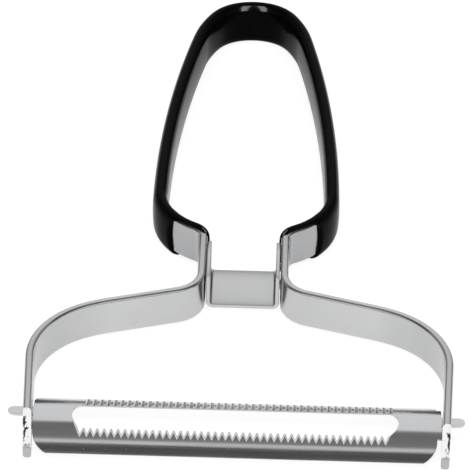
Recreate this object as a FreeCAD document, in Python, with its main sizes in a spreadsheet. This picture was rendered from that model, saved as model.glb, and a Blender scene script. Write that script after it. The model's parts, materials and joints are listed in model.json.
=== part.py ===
"""Wide Y peeler: a bent strip frame with a dipped grip, a bridge bracket and a swivelling toothed blade.

Millimetres. Each body is drawn about the blade's pivot line: X along that line, Y towards the handle,
Z up through the strip's width. The bodies' placements then set the whole part on Z = 0.
"""
import FreeCAD, Part
import math
import os
import Sketcher

V = FreeCAD.Vector
doc = FreeCAD.newDocument("peeler")
sheet = doc.addObject("Spreadsheet::Sheet", "Dims")
row = 0


def cell(alias, content, note):
    """One named cell: a driving size, or a formula on other cells."""
    global row
    row += 1
    sheet.set("A%d" % row, alias)
    sheet.set("B%d" % row, content)
    sheet.set("C%d" % row, note)
    sheet.setAlias("B%d" % row, alias)


# Strip of the frame
cell("strip_thickness", "=2 mm", "flat wire thickness")
cell("strip_width", "=10 mm", "flat wire width, along Z")
cell("strip_edge", "=0.45 mm", "rounding of the wire's four long edges")
# Handle loop, along the middle of the strip
cell("arch_radius", "=13.66 mm", "top of the loop")
cell("arch_angle", "=78.2 deg", "half angle of the top arc")
cell("leg_height", "=83 mm", "long gentle arc of each leg, along Y")
cell("bulge_radius", "=18.1 mm", "foot of the loop")
cell("shoulder_radius", "=4.3 mm", "reverse bend from loop into neck")
# Neck and arms
cell("bracket_width", "=18.6 mm", "outside of the bracket, which sets the necks apart")
cell("neck_length", "=15.45 mm", "straight neck")
cell("neck_bend", "=8.07 mm", "bend from neck to arm")
cell("arm_slope", "=17.55 deg", "fall of the arm's straight")
cell("arm_radius", "=40 mm", "gentle start of the arm's bend")
cell("arm_sweep", "=8 deg", "angle of that gentle start")
cell("tip_radius", "=22.4 mm", "bend into the lug")
cell("lug_gap", "=96.8 mm", "between the two lugs' inner faces, at the pivot")
cell("lug_lean", "=2.8 deg", "lean of each lug, inward towards its end")
cell("lug_drop", "=16.15 mm", "end of that bend to the pivot")
cell("lug_tail", "=11.35 mm", "pivot to the cut end, at the lower edge")
cell("lug_top", "=5.45 mm", "pivot to the cut end, at the upper edge")
cell("cut_land", "=2.9 mm", "square part of the cut end, along Z")
# Grip coat
cell("coat", "=1 mm", "coat thickness")
cell("dip_level", "=4.5 mm", "dip line at X = 0, above the neck's middle")
cell("dip_slope", "=27.5 deg", "rise of the dip line outward")
# Bracket
cell("bracket_sheet", "=1 mm", "bracket sheet")
cell("bracket_depth", "=9.8 mm", "ear height, along Z")
cell("bracket_length", "=15.1 mm", "length along the neck")
cell("bracket_bend", "=0.8 mm", "inside bend")
cell("bracket_shift", "=-1.7 mm", "bracket middle from the neck's middle")
# Blade
cell("blade_sheet", "=0.7 mm", "blade sheet")
cell("blade_radius", "=14.5 mm", "outside of the trough")
cell("blade_angle", "=46.5 deg", "half angle of the trough")
cell("blade_end_gap", "=0.9 mm", "blade body to lug")
cell("blade_corner", "=4.6 mm", "corner rounding in plan")
cell("shoulder_angle", "=22.3 deg", "half angle of the end shoulder")
cell("shoulder_play", "=0.6 mm", "shoulder to lug")
cell("tab_width", "=3 mm", "pivot tab, across")
cell("tab_reach", "=3.7 mm", "tab beyond the lug's outer face")
cell("pivot_clearance", "=0.06 mm", "tab corner to hole wall")
cell("slot_length", "=77 mm", "slot, end to end")
cell("slot_front", "=4.8 mm", "slot's toothed edge from the crest")
cell("slot_back", "=3.4 mm", "slot's other edge from the crest")
cell("slot_bow", "=1.95 mm", "how far each end of the slot bows out")
cell("tooth_pitch", "=1.63 mm", "tooth to tooth")
cell("tooth_land", "=0.6 mm", "least distance from the straight edge's end to the first flute's middle")
cell("flute_bar", "=1.7 mm", "half diagonal of the square that stands for the wheel's edge")
cell("front_flute", "=2.82 mm", "toothed edge: flute along the sheet, from the slot")
cell("front_break", "=0.76 mm", "toothed edge: flute floor below the sheet's inside, at the slot")
cell("back_flute", "=3.2 mm", "other edge: flute along the sheet, from the slot")
cell("back_depth", "=0.55 mm", "other edge: flute floor below the sheet's outside, at the slot")

# Sizes that follow from those above
cell("neck_half", "=bracket_width / 2 + strip_thickness / 2", "neck middle from X = 0")
cell("lug_half", "=lug_gap / 2 + strip_thickness / 2 / cos(lug_lean)", "lug middle from X = 0, at the pivot")
cell("grip_edge", "=0.9 * (strip_thickness / 2 + coat)", "rounding of the coat's long edges")
cell("leg_radius", "=leg_height / cos(arch_angle)", "leg arc")
cell("loop_half", "=arch_radius * sin(arch_angle) + leg_radius * (1 - sin(arch_angle))", "widest point")
cell("turn", "=acos(1 - (loop_half - neck_half) / (bulge_radius + shoulder_radius))", "bulge and shoulder")
cell("bend_two", "=arm_slope + arm_sweep", "heading after the gentle bend")
cell("lug_head", "=lug_half + lug_drop * tan(lug_lean)", "lug middle from X = 0, at its upper end")
cell("arm_straight", "=(lug_head - neck_half - neck_bend * (1 - sin(arm_slope))"
     " - arm_radius * (sin(bend_two) - sin(arm_slope))"
     " - tip_radius * (cos(lug_lean) - sin(bend_two))) / cos(arm_slope)", "straight of the arm")
cell("neck_foot", "=lug_drop + tip_radius * (cos(bend_two) + sin(lug_lean))"
     " + arm_radius * (cos(arm_slope) - cos(bend_two))"
     " + arm_straight * sin(arm_slope) + neck_bend * cos(arm_slope)", "neck's lower end above the pivot")
cell("neck_middle", "=neck_foot + neck_length / 2", "neck's middle above the pivot")
cell("crown", "=neck_foot + neck_length + (bulge_radius + shoulder_radius) * sin(turn) + leg_height"
     " + arch_radius * (1 - cos(arch_angle))", "top of the loop above the pivot")
cell("wing_reach", "=blade_radius * sin(blade_angle)", "blade edge from the pivot, along Y")
cell("pivot_y", "=(max(wing_reach; lug_tail) - crown - strip_thickness / 2 - coat) / 2",
     "pivot in the part's frame")
cell("pivot_z", "=strip_width / 2 + coat", "pivot in the part's frame")
cell("tab_tip", "=lug_gap / 2 + strip_thickness + tab_reach", "tab tip from X = 0")
cell("tab_angle", "=asin(tab_width / (2 * blade_radius))", "half angle of the tab on the trough")
cell("tab_corner", "=sqrt((tab_width / 2) ^ 2"
     " + (blade_sheet / 2 - blade_radius * (1 - cos(tab_angle))) ^ 2)", "tab corner from the pivot line")
cell("pivot_hole", "=tab_corner + pivot_clearance", "hole radius")
cell("slot_width", "=slot_front + slot_back", "slot, edge to edge")
cell("slot_straight", "=slot_length / 2 - slot_bow", "straight edge's end from X = 0")
cell("slot_round", "=((slot_width / 2) ^ 2 + slot_bow ^ 2) / (2 * slot_bow)", "radius of the slot's ends")
cell("flute_count", "=floor(2 * (slot_straight - tooth_land) / tooth_pitch) + 1", "flutes on each edge")
cell("front_depth", "=blade_sheet + front_break", "flute floor below the sheet's outside, at the slot")
for edge in ("front", "back"):
    cell(edge + "_sweep", "=%s_flute / blade_radius * 1 rad" % edge, "flute round the trough")
    cell(edge + "_angle", "=asin(slot_%s / blade_radius) + %s_sweep" % (edge, edge), "flute's end round the trough")
    cell(edge + "_run", "=blade_radius * %s_angle / 1 rad" % edge, "flute's end along the arc from the crest")
    cell(edge + "_tilt", "=atan(({0}_depth + blade_radius * (1 - cos({0}_sweep)))"
         " / (blade_radius * sin({0}_sweep)))".format(edge), "flute against the sheet at its end")
doc.recompute()


def size(alias):
    """A cell's number, in millimetres or degrees."""
    got = getattr(sheet, alias)
    return float(getattr(got, "Value", got))


def line(start, end, joint="c"):
    return ("line", start, end, joint)


def arc(start, heading, radius, turn, joint="t"):
    """An arc from a point and a heading, both turned left (positive) or right, in degrees."""
    side = 1.0 if turn > 0 else -1.0
    h = math.radians(heading)
    centre = (start[0] - side * radius * math.sin(h), start[1] + side * radius * math.cos(h))
    return ("arc", centre, radius, heading - 90.0 * side, turn, joint)


def arc_end(entry):
    a = math.radians(entry[3] + entry[4])
    return (entry[1][0] + entry[2] * math.cos(a), entry[1][1] + entry[2] * math.sin(a))


class Drawing:
    """A sketch made of a chain of lines and arcs, with named sizes bound to the sheet."""

    def __init__(self, body, name, plane):
        self.sketch = body.newObject("Sketcher::SketchObject", name)
        origin = [f for f in body.Origin.OriginFeatures if f.Role == plane][0]
        self.sketch.AttachmentSupport = (origin, [""])
        self.sketch.MapMode = "FlatFace"
        self.start = []
        self.end = []

    def chain(self, entries, closed):
        """Draw entries end to end; each entry's joint says how it meets the next."""
        first = len(self.start)
        for e in entries:
            if e[0] == "line":
                stroke = Part.LineSegment(V(e[1][0], e[1][1], 0), V(e[2][0], e[2][1], 0))
                self.sketch.addGeometry(stroke, False)
                self.start.append(1)
                self.end.append(2)
            else:
                a0 = math.radians(e[3])
                a1 = math.radians(e[3] + e[4])
                circle = Part.Circle(V(e[1][0], e[1][1], 0), V(0, 0, 1), e[2])
                self.sketch.addGeometry(Part.ArcOfCircle(circle, min(a0, a1), max(a0, a1)), False)
                self.start.append(1 if e[4] > 0 else 2)
                self.end.append(2 if e[4] > 0 else 1)
        count = len(entries)
        for k in range(count if closed else count - 1):
            a = first + k
            b = first + (k + 1) % count
            kind = "Tangent" if entries[k][-1] == "t" else "Coincident"
            self.sketch.addConstraint(Sketcher.Constraint(kind, a, self.end[a], b, self.start[b]))

    def bind(self, constraint, name, expression):
        index = self.sketch.addConstraint(constraint)
        self.sketch.renameConstraint(index, name)
        self.sketch.setExpression("Constraints." + name, expression)

    def flat(self, *items):
        for i in items:
            self.sketch.addConstraint(Sketcher.Constraint("Horizontal", i))

    def upright(self, *items):
        for i in items:
            self.sketch.addConstraint(Sketcher.Constraint("Vertical", i))

    def radius(self, i, name, expression):
        now = self.sketch.Geometry[i].Radius
        self.bind(Sketcher.Constraint("Radius", i, now), name, expression)

    def equal(self, *items):
        for i in items[1:]:
            self.sketch.addConstraint(Sketcher.Constraint("Equal", items[0], i))

    def x(self, i, spot, name, expression):
        now = self.sketch.getPoint(i, spot).x
        self.bind(Sketcher.Constraint("DistanceX", -1, 1, i, spot, now), name, expression)

    def y(self, i, spot, name, expression):
        now = self.sketch.getPoint(i, spot).y
        self.bind(Sketcher.Constraint("DistanceY", -1, 1, i, spot, now), name, expression)

    def on_axis(self, i, spot, letter):
        """Hold a point on the sketch's own x or y axis."""
        self.sketch.addConstraint(Sketcher.Constraint("PointOnObject", i, spot, -1 if letter == "x" else -2))


def rounded_box(body, name, plane, half_x, half_y, corner, middle):
    """A rounded rectangle about (middle, 0); each size is an expression on the sheet."""
    hx = value_of(half_x)
    hy = value_of(half_y)
    r = value_of(corner)
    cx = value_of(middle)
    d = Drawing(body, name, plane)
    corners = [(cx + hx - r, -hy, 0.0), (cx + hx, hy - r, 90.0),
               (cx - hx + r, hy, 180.0), (cx - hx, -hy + r, 270.0)]
    entries = []
    at = (cx - hx + r, -hy)
    for ex, ey, heading in corners:
        entries.append(line(at, (ex, ey), "t"))
        bend = arc((ex, ey), heading, r, 90.0, "t")
        entries.append(bend)
        at = arc_end(bend)
    d.chain(entries, True)
    d.flat(0, 4)
    d.upright(2, 6)
    d.equal(1, 3, 5, 7)
    d.radius(1, "Corner", corner)
    d.y(0, 1, "Bottom", "-(%s)" % half_y)
    d.y(4, 1, "Top", half_y)
    d.x(2, 1, "Outer", "%s + %s" % (middle, half_x))
    d.x(6, 1, "Inner", "%s - (%s)" % (middle, half_x))
    return d


def value_of(expression):
    """Number of an expression on the sheet, read through a scratch cell."""
    sheet.set("E1", "=" + expression.replace("Dims.", ""))
    sheet.recompute()
    got = sheet.get("E1")
    return float(getattr(got, "Value", got))


def half_path(body, name, arms):
    """Middle line of the right half of the strip, from the top of the loop down."""
    entries = []
    at = (0.0, size("crown"))
    heading = 0.0
    steps = [("arc", size("arch_radius"), -size("arch_angle")),
             ("arc", size("leg_radius"), size("arch_angle") - 90.0),
             ("arc", size("bulge_radius"), -size("turn")),
             ("arc", size("shoulder_radius"), size("turn")),
             ("line", size("neck_length"), 0.0)]
    if arms:
        steps += [("arc", size("neck_bend"), 90.0 - size("arm_slope")),
                  ("line", size("arm_straight"), 0.0),
                  ("arc", size("arm_radius"), -size("arm_sweep")),
                  ("arc", size("tip_radius"), size("bend_two") - 90.0 - size("lug_lean")),
                  ("line", size("lug_drop") + 1.2 * size("lug_tail"), 0.0)]
    for kind, amount, bend in steps:
        if kind == "arc":
            entries.append(arc(at, heading, amount, bend, "t"))
            at = arc_end(entries[-1])
            heading += bend
        else:
            h = math.radians(heading)
            to = (at[0] + amount * math.cos(h), at[1] + amount * math.sin(h))
            entries.append(line(at, to, "t"))
            at = to
    d = Drawing(body, name, "XY_Plane")
    d.chain(entries, False)
    d.on_axis(0, d.start[0], "y")
    d.on_axis(0, 3, "y")
    d.y(0, d.start[0], "Crown", "Dims.crown")
    d.radius(0, "Arch", "Dims.arch_radius")
    d.x(0, d.end[0], "ArchEnd", "Dims.arch_radius * sin(Dims.arch_angle)")
    d.radius(1, "Leg", "Dims.leg_radius")
    d.sketch.addConstraint(Sketcher.Constraint("Horizontal", 1, 3, 1, d.end[1]))
    d.radius(2, "Bulge", "Dims.bulge_radius")
    d.radius(3, "Shoulder", "Dims.shoulder_radius")
    d.upright(4)
    d.x(4, 1, "Neck", "Dims.neck_half")
    d.y(4, 2, "NeckFoot", "Dims.neck_foot")
    if arms:
        d.radius(5, "NeckBend", "Dims.neck_bend")
        d.radius(7, "Arm", "Dims.arm_radius")
        d.radius(8, "Tip", "Dims.tip_radius")
        d.x(9, 1, "LugHead", "Dims.lug_head")
        d.y(9, 1, "LugTop", "Dims.lug_drop")
        d.x(9, 2, "LugFoot", "Dims.lug_half - 1.2 * Dims.lug_tail * tan(Dims.lug_lean)")
        d.y(9, 2, "LugEnd", "-1.2 * Dims.lug_tail")
        d.x(8, d.start[8], "TipStart",
            "Dims.lug_head - Dims.tip_radius * (cos(Dims.lug_lean) - sin(Dims.bend_two))")
    return d.sketch


def swept(body, kind, name, profile, path):
    pipe = body.newObject("PartDesign::" + kind, name)
    pipe.Profile = (profile, [""])
    pipe.Spine = (path, ["Edge%d" % (k + 1) for k in range(len(path.Geometry))])
    pipe.Mode = "Standard"
    pipe.Transition = "Transformed"
    return pipe


def plane_of(body, role):
    return [f for f in body.Origin.OriginFeatures if f.Role == role][0]


def mirrored(body, name, originals):
    feature = body.newObject("PartDesign::Mirrored", name)
    feature.Originals = originals
    feature.MirrorPlane = (plane_of(body, "YZ_Plane"), [""])
    body.Tip = feature
    return feature


def extruded(body, kind, name, sketch, expression=None):
    """A pad or pocket, equal on both sides of its sketch; no expression cuts right through."""
    feature = body.newObject("PartDesign::" + kind, name)
    feature.Profile = (sketch, [""])
    if hasattr(feature, "SideType"):
        feature.SideType = "Symmetric"
    else:
        feature.Midplane = True
    if expression is None:
        feature.Type = "ThroughAll"
    else:
        feature.Type = "Length"
        feature.setExpression("Length", expression)
    return feature


def new_body(label):
    body = doc.addObject("PartDesign::Body", label)
    body.Label = label
    body.setExpression("Placement.Base.y", "Dims.pivot_y")
    body.setExpression("Placement.Base.z", "Dims.pivot_z")
    return body


# Frame strip: one flat wire bent through loop, necks and arms, its ends pierced and cut off on the slant
strip = new_body("frame_strip")
strip_path = half_path(strip, "strip_path", True)
strip_section = rounded_box(strip, "strip_section", "YZ_Plane", "Dims.strip_thickness / 2",
                            "Dims.strip_width / 2", "Dims.strip_edge", "Dims.crown")
strip_half = swept(strip, "AdditivePipe", "strip_half", strip_section.sketch, strip_path)
end_cut = Drawing(strip, "end_outline", "YZ_Plane")
half = size("strip_width") / 2
tail = size("lug_tail")
top = size("lug_top")
land = size("cut_land") - half
beyond = 2.0 * tail
clear = 2.0 * half
end_cut.chain([line((-beyond, -clear), (-tail, -clear)), line((-tail, -clear), (-tail, land)),
               line((-tail, land), (-top, half)), line((-top, half), (-top, clear)),
               line((-top, clear), (-beyond, clear)), line((-beyond, clear), (-beyond, -clear))], True)
end_cut.flat(0, 4)
end_cut.upright(1, 3, 5)
end_cut.x(0, 1, "Beyond", "-2 * Dims.lug_tail")
end_cut.y(0, 1, "Below", "-Dims.strip_width")
end_cut.x(1, 1, "Tail", "-Dims.lug_tail")
end_cut.y(1, 2, "Land", "-Dims.strip_width / 2 + Dims.cut_land")
end_cut.x(2, 2, "TopEnd", "-Dims.lug_top")
end_cut.y(2, 2, "TopEdge", "Dims.strip_width / 2")
end_cut.y(3, 2, "Above", "Dims.strip_width")
end_pocket = extruded(strip, "Pocket", "end_pocket", end_cut.sketch)
both = mirrored(strip, "both_halves", [strip_half, end_pocket])
hole = Drawing(strip, "pivot_circle", "YZ_Plane")
hole.sketch.addGeometry(Part.Circle(V(0, 0, 0), V(0, 0, 1), size("pivot_hole")), False)
hole.sketch.addConstraint(Sketcher.Constraint("Coincident", 0, 3, -1, 1))
hole.radius(0, "Hole", "Dims.pivot_hole")
pivot_holes = extruded(strip, "Pocket", "pivot_holes", hole.sketch)
strip.Tip = pivot_holes

# Grip coat: the loop dipped arch first, so the coat stops at a dip line on the foot of the loop
grip = new_body("grip_coat")
grip_path = half_path(grip, "grip_path", False)
grip_outside = rounded_box(grip, "grip_outside", "YZ_Plane", "Dims.strip_thickness / 2 + Dims.coat",
                           "Dims.strip_width / 2 + Dims.coat", "Dims.grip_edge", "Dims.crown")
grip_full = swept(grip, "AdditivePipe", "grip_full", grip_outside.sketch, grip_path)
grip_inside = rounded_box(grip, "grip_inside", "YZ_Plane", "Dims.strip_thickness / 2",
                          "Dims.strip_width / 2", "Dims.strip_edge", "Dims.crown")
grip_hollow = swept(grip, "SubtractivePipe", "grip_hollow", grip_inside.sketch, grip_path)
dip = Drawing(grip, "dip_line", "XY_Plane")
low = size("neck_middle") + size("dip_level")
far = 2.0 * size("loop_half")
high = low + far * math.tan(math.radians(size("dip_slope")))
dip.chain([line((0, 0), (far, 0)), line((far, 0), (far, high)), line((far, high), (0, low)),
           line((0, low), (0, 0))], True)
dip.flat(0)
dip.upright(1, 3)
dip.on_axis(3, 1, "y")
dip.y(3, 1, "DipLow", "Dims.neck_middle + Dims.dip_level")
dip.on_axis(0, 2, "x")
dip.x(1, 1, "Far", "2 * Dims.loop_half")
dip.y(1, 2, "DipHigh", "Dims.neck_middle + Dims.dip_level + 2 * Dims.loop_half * tan(Dims.dip_slope)")
dip_cut = extruded(grip, "Pocket", "dip_cut", dip.sketch)
mirrored(grip, "both_sides", [grip_full, grip_hollow, dip_cut])

# Bridge bracket: a folded sheet channel, spot welded between the necks
bridge = new_body("bridge_bracket")
bridge.setExpression("Placement.Base.y", "Dims.pivot_y + Dims.neck_middle + Dims.bracket_shift")
channel = Drawing(bridge, "channel", "XZ_Plane")
out = size("bracket_width") / 2
gauge = size("bracket_sheet")
inside = size("bracket_bend")
floor = -size("strip_width") / 2
peak = floor + size("bracket_depth")
outside = inside + gauge
left_fold = arc((-out, floor + outside), 270.0, outside, 90.0)
right_fold = arc((out - outside, floor), 0.0, outside, 90.0)
right_inner = arc((out - gauge, floor + outside), 270.0, inside, -90.0)
left_inner = arc((-out + outside, floor + gauge), 180.0, inside, -90.0)
channel.chain([line((-out, peak), (-out, floor + outside), "t"), left_fold,
               line((-out + outside, floor), (out - outside, floor), "t"), right_fold,
               line((out, floor + outside), (out, peak), "c"), line((out, peak), (out - gauge, peak), "c"),
               line((out - gauge, peak), (out - gauge, floor + outside), "t"), right_inner,
               line((out - outside, floor + gauge), (-out + outside, floor + gauge), "t"), left_inner,
               line((-out + gauge, floor + outside), (-out + gauge, peak), "c"),
               line((-out + gauge, peak), (-out, peak), "c")], True)
channel.upright(0, 4, 6, 10)
channel.flat(2, 5, 8, 11)
channel.x(0, 1, "EarLeft", "-Dims.bracket_width / 2")
channel.x(4, 1, "EarRight", "Dims.bracket_width / 2")
channel.x(6, 1, "EarRightIn", "Dims.bracket_width / 2 - Dims.bracket_sheet")
channel.x(10, 1, "EarLeftIn", "-Dims.bracket_width / 2 + Dims.bracket_sheet")
channel.y(2, 1, "Floor", "-Dims.strip_width / 2")
channel.y(8, 1, "FloorTop", "-Dims.strip_width / 2 + Dims.bracket_sheet")
channel.y(5, 1, "EarTop", "-Dims.strip_width / 2 + Dims.bracket_depth")
channel.y(11, 1, "EarTopLeft", "-Dims.strip_width / 2 + Dims.bracket_depth")
channel.radius(1, "FoldLeft", "Dims.bracket_bend + Dims.bracket_sheet")
channel.radius(3, "FoldRight", "Dims.bracket_bend + Dims.bracket_sheet")
channel.radius(7, "FoldRightIn", "Dims.bracket_bend")
channel.radius(9, "FoldLeftIn", "Dims.bracket_bend")
extruded(bridge, "Pad", "channel_pad", channel.sketch, "Dims.bracket_length")

# Blade: a rolled trough with shoulders, pivot tabs and a fluted slot
blade = new_body("swivel_blade")


def trough(name, angle):
    """Section of the rolled sheet, a half angle each side of the crest, which lies on the pivot line."""
    outer = size("blade_radius")
    inner = outer - size("blade_sheet")
    zc = size("blade_sheet") / 2 - outer
    a = math.radians(value_of(angle))
    d = Drawing(blade, name, "YZ_Plane")
    spots = [(outer * math.sin(s * a), zc + outer * math.cos(s * a)) for s in (1, -1)]
    spots += [(inner * math.sin(s * a), zc + inner * math.cos(s * a)) for s in (-1, 1)]
    deg = math.degrees(a)
    d.chain([("arc", (0, zc), outer, 90.0 - deg, 2 * deg, "c"), line(spots[1], spots[2], "c"),
             ("arc", (0, zc), inner, 90.0 + deg, -2 * deg, "c"), line(spots[3], spots[0], "c")], True)
    d.sketch.addConstraint(Sketcher.Constraint("Coincident", 0, 3, 2, 3))
    d.on_axis(0, 3, "y")
    d.y(0, 3, "Centre", "Dims.blade_sheet / 2 - Dims.blade_radius")
    d.radius(0, "Outside", "Dims.blade_radius")
    d.radius(2, "Inside", "Dims.blade_radius - Dims.blade_sheet")
    d.x(0, 1, "EdgeBack", "Dims.blade_radius * sin(%s)" % angle)
    d.x(0, 2, "EdgeFront", "-Dims.blade_radius * sin(%s)" % angle)
    d.x(2, d.start[2], "InnerFront", "-(Dims.blade_radius - Dims.blade_sheet) * sin(%s)" % angle)
    d.x(2, d.end[2], "InnerBack", "(Dims.blade_radius - Dims.blade_sheet) * sin(%s)" % angle)
    return d.sketch


def short_edges(shape, at_x):
    """Names of the sheet's corner edges in the planes X = at_x and X = -at_x."""
    names = []
    for k, edge in enumerate(shape.Edges):
        ends = [v.Point for v in edge.Vertexes]
        if len(ends) == 2 and all(abs(abs(p.x) - at_x) < 1e-6 for p in ends):
            if edge.Length < 1.2 * size("blade_sheet") and ends[0].x * ends[1].x > 0:
                names.append("Edge%d" % (k + 1))
    return names


extruded(blade, "Pad", "blade_body", trough("body_section", "Dims.blade_angle"), "Dims.lug_gap")
trim = rounded_box(blade, "blade_outline", "XY_Plane", "Dims.lug_gap / 2 - Dims.blade_end_gap",
                   "Dims.wing_reach + 0.2 mm", "Dims.blade_corner", "0 mm")
trim_x = size("lug_gap")
trim_y = 2.0 * size("wing_reach")
trim.chain([line((-trim_x, -trim_y), (trim_x, -trim_y)), line((trim_x, -trim_y), (trim_x, trim_y)),
            line((trim_x, trim_y), (-trim_x, trim_y)), line((-trim_x, trim_y), (-trim_x, -trim_y))], True)
trim.flat(8, 10)
trim.upright(9, 11)
trim.x(8, 1, "TrimLeft", "-Dims.lug_gap")
trim.x(8, 2, "TrimRight", "Dims.lug_gap")
trim.y(8, 1, "TrimFront", "-2 * Dims.wing_reach")
trim.y(10, 1, "TrimBack", "2 * Dims.wing_reach")
extruded(blade, "Pocket", "blade_trim", trim.sketch)
extruded(blade, "Pad", "shoulders", trough("shoulder_section", "Dims.shoulder_angle"),
         "Dims.lug_gap - 2 * Dims.shoulder_play")
tabs = extruded(blade, "Pad", "tabs", trough("tab_section", "Dims.tab_angle"),
                "2 * Dims.tab_tip")
doc.recompute()
tip_names = short_edges(tabs.Shape, size("tab_tip"))
tab_tips = blade.newObject("PartDesign::Fillet", "tab_tips")
tab_tips.Base = (tabs, tip_names)
tab_tips.setExpression("Radius", "Dims.tab_width * 0.47")

slot = Drawing(blade, "slot_outline", "XY_Plane")
end_x = size("slot_straight")
front_y = -size("slot_front")
back_y = size("slot_back")
half_turn = math.degrees(math.asin(size("slot_width") / 2 / size("slot_round")))
right_end = arc((end_x, front_y), 90.0 - half_turn, size("slot_round"), 2 * half_turn, "c")
left_end = arc((-end_x, back_y), 270.0 - half_turn, size("slot_round"), 2 * half_turn, "c")
slot.chain([line((-end_x, front_y), (end_x, front_y)), right_end,
            line((end_x, back_y), (-end_x, back_y)), left_end], True)
slot.flat(0, 2)
slot.y(0, 1, "SlotFront", "-Dims.slot_front")
slot.y(2, 1, "SlotBack", "Dims.slot_back")
slot.x(0, 1, "FrontLeft", "-Dims.slot_straight")
slot.x(0, 2, "FrontRight", "Dims.slot_straight")
slot.x(2, 1, "BackRight", "Dims.slot_straight")
slot.x(2, 2, "BackLeft", "-Dims.slot_straight")
slot.radius(1, "EndRight", "Dims.slot_round")
slot.radius(3, "EndLeft", "Dims.slot_round")
slot_cut = extruded(blade, "Pocket", "slot_cut", slot.sketch)

# Each flute is a ground V groove that fades out on the outside; the toothed edge's flutes open through at the slot
for side, name in ((-1, "front"), (1, "back")):
    flute = blade.newObject("PartDesign::SubtractivePrism", "flute_" + name)
    flute.Refine = False
    flute.Polygon = 4
    flute.setExpression("Circumradius", "Dims.flute_bar")
    flute.setExpression("Height", "Dims.%s_run" % name)
    end = "Dims.%s_angle" % name
    lean = "(%s - Dims.%s_tilt)" % (end, name)
    reach = "(Dims.blade_radius * sin(%s) + Dims.flute_bar * sin(%s))" % (end, lean)
    fall = "Dims.blade_radius * (1 - cos(%s))" % end
    depth = "Dims.blade_sheet / 2 - %s + Dims.flute_bar * cos(%s)" % (fall, lean)
    steep = 90.0 + size(name + "_tilt") - size(name + "_angle")
    flute.Placement = FreeCAD.Placement(V(0, 0, 0), FreeCAD.Rotation(V(side, 0, 0), steep))
    flute.setExpression("Placement.Rotation.Angle", "90 deg - " + lean)
    flute.setExpression("Placement.Base.x", "-(Dims.flute_count - 1) / 2 * Dims.tooth_pitch")
    flute.setExpression("Placement.Base.y", ("" if side > 0 else "-") + reach)
    flute.setExpression("Placement.Base.z", depth)
    rowed = blade.newObject("PartDesign::LinearPattern", "flutes_" + name)
    rowed.Refine = False
    rowed.Originals = [flute]
    rowed.Direction = (plane_of(blade, "X_Axis"), [""])
    rowed.setExpression("Length", "(Dims.flute_count - 1) * Dims.tooth_pitch")
    rowed.setExpression("Occurrences", "Dims.flute_count")
    blade.Tip = rowed

doc.recompute()

bad = []
for obj in doc.Objects:
    if "Invalid" in obj.State or "Error" in obj.State:
        bad.append(obj.Label)
for body in (strip, grip, bridge, blade):
    if body.Shape.isNull() or not body.Shape.isValid() or len(body.Shape.Solids) != 1:
        bad.append(body.Label + " shape")
if bad:
    raise RuntimeError("not built: " + ", ".join(bad))

os.makedirs("parts", exist_ok=True)
for body in (strip, grip, bridge, blade):
    body.Shape.exportStep("parts/%s.step" % body.Label)
    print(body.Label, "volume %.1f" % body.Shape.Volume)
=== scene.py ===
import bmesh
import bpy
import json
import math
from mathutils import Matrix, Vector, noise


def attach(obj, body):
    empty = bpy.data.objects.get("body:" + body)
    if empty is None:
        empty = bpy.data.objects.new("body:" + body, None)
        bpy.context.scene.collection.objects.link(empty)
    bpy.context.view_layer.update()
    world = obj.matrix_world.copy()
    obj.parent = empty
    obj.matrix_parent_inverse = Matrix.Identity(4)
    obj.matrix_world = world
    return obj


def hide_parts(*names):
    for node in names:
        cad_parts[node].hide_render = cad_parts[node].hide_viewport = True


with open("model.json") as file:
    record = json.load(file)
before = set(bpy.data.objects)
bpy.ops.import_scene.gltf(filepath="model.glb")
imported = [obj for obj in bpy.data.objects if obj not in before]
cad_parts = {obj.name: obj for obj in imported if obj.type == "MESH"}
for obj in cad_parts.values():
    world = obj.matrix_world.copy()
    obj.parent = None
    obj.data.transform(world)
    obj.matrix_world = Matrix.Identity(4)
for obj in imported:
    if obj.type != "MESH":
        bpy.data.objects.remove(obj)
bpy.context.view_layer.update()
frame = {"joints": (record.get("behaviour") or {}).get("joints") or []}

# Frame strip
# One length of cold drawn stainless flat wire, 10 by 2 mm, bent in a jig through arms, necks and loop.
# Its two ends are pierced for the blade and cropped on the slant, so each end is part sheared and part torn.
MM = 0.001
pivot = Vector(frame["joints"][0]["pos_m"]) / MM
strip_thick, strip_width, strip_edge = 2.0, 10.0, 0.75
arch_radius, arch_angle = 13.66, 78.2
leg_height = 83.0
bulge_radius, shoulder_radius = 18.1, 4.3
bracket_width = 18.6
neck_length, neck_bend = 15.45, 8.07
arm_slope, arm_radius, arm_sweep = 17.55, 40.0, 8.0
tip_radius = 22.4
lug_gap, lug_lean, lug_drop, lug_clear = 96.8, 2.8, 16.15, 3.0
lug_tail, cut_land = 11.35, 2.9
# Below the pivot the lugs reach the tail at their lower edge and these tops, left and right, at the upper.
lug_tops = {-1: 5.45, 1: 7.2}
pivot_hole = 1.5845


def sine(degrees):
    return math.sin(math.radians(degrees))


def cosine(degrees):
    return math.cos(math.radians(degrees))


neck_half = (bracket_width + strip_thick) / 2
lug_half = lug_gap / 2 + strip_thick / 2 / cosine(lug_lean)
lug_slope = math.tan(math.radians(lug_lean))
lug_head = lug_half + lug_drop * lug_slope
leg_radius = leg_height / cosine(arch_angle)
loop_half = arch_radius * sine(arch_angle) + leg_radius * (1 - sine(arch_angle))
turn = math.degrees(math.acos(1 - (loop_half - neck_half) / (bulge_radius + shoulder_radius)))
arm_end = arm_slope + arm_sweep
arm_across = neck_bend * (1 - sine(arm_slope)) + arm_radius * (sine(arm_end) - sine(arm_slope))
tip_across = tip_radius * (cosine(lug_lean) - sine(arm_end))
arm_straight = (lug_head - neck_half - arm_across - tip_across) / cosine(arm_slope)
neck_foot = (lug_drop + tip_radius * (cosine(arm_end) + sine(lug_lean))
             + arm_radius * (cosine(arm_slope) - cosine(arm_end))
             + arm_straight * sine(arm_slope) + neck_bend * cosine(arm_slope))
neck_middle = neck_foot + neck_length / 2
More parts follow.
